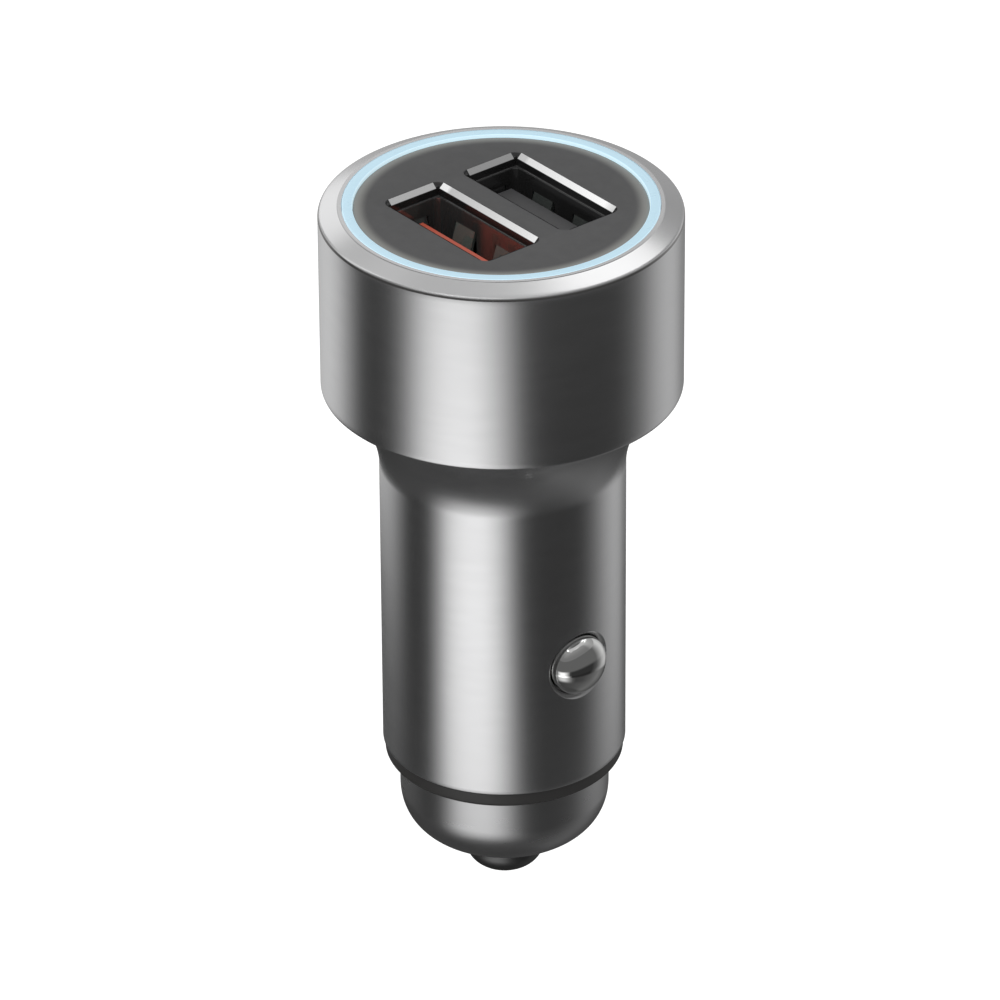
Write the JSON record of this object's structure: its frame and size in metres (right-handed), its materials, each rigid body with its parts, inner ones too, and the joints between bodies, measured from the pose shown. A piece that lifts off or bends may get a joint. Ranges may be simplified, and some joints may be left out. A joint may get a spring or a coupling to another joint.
{
  "type": "car usb charger plug",
  "caption": "Round metal car socket plug with a wide head, USB ports inside a lit ring, sprung side contacts and a sprung centre tip below a black insulating ring.",
  "frame": {"origin": "on the axis at the top of the straight barrel, where the flare under the head begins", "axes": "+Z along the axis towards the ports; X along the ports' long sides and through both side contacts; the orange port is on the -Y side"},
  "size_m": [0.03, 0.03, 0.0638],
  "materials": {
    "satin_aluminium": "fine turned satin",
    "face_plastic": "smooth moulded, dark grey",
    "light_guide": "translucent, lit pale blue from below",
    "port_steel": "bright plated sheet",
    "orange_plastic": "moulded, orange red",
    "grey_plastic": "moulded, dark grey",
    "strip_brass": "gold flashed",
    "board_laminate": "green solder mask",
    "led_resin": "clear resin",
    "ferrite": "matt sintered",
    "copper_winding": "enamelled copper",
    "can_aluminium": "drawn can",
    "chip_resin": "moulded epoxy",
    "carrier_nylon": "natural nylon",
    "ring_nylon": "black, slightly glossy",
    "contact_chrome": "polished nickel plate",
    "tip_nickel": "nickel plate",
    "spring_steel": "drawn wire"
  },
  "bodies": {
    "charger": {"metal_housing": "satin_aluminium", "face_plate": "face_plastic", "light_ring": "light_guide", "port_board": "board_laminate", "ring_leds": "led_resin", "main_board": "board_laminate", "inductor_core": "ferrite", "inductor_coil": "copper_winding", "input_capacitor": "can_aluminium", "output_capacitor": "can_aluminium", "driver_chips": "chip_resin", "small_parts": "chip_resin", "inner_carrier": "carrier_nylon", "insulating_ring": "ring_nylon", "nose_cap": "satin_aluminium", "tip_spring": "spring_steel", "tip_terminal": "strip_brass", "right_side_spring": "spring_steel", "left_side_spring": "spring_steel", "right_side_terminal": "strip_brass", "left_side_terminal": "strip_brass", "orange_port_shell": "port_steel", "orange_port_tongue": "orange_plastic", "orange_port_contacts": "strip_brass", "grey_port_shell": "port_steel", "grey_port_tongue": "grey_plastic", "grey_port_contacts": "strip_brass"},
    "right_contact": {"right_side_contact": "contact_chrome"},
    "left_contact": {"left_side_contact": "contact_chrome"},
    "tip": {"tip_pin": "tip_nickel"}
  },
  "joints": [
    {"name": "right_contact_press", "type": "slide", "parent": "charger", "child": "right_contact", "axis": [-1, 0, 0], "range_m": [0, 0.0012], "stiffness_N_per_m": 900, "springref_m": -0.0015, "deforming": ["right_side_spring"]},
    {"name": "left_contact_press", "type": "slide", "parent": "charger", "child": "left_contact", "axis": [1, 0, 0], "range_m": [0, 0.0012], "stiffness_N_per_m": 900, "springref_m": -0.0015, "deforming": ["left_side_spring"]},
    {"name": "tip_press", "type": "slide", "parent": "charger", "child": "tip", "axis": [0, 0, 1], "range_m": [0, 0.002], "stiffness_N_per_m": 1200, "springref_m": -0.002, "deforming": ["tip_spring"]}
  ]
}
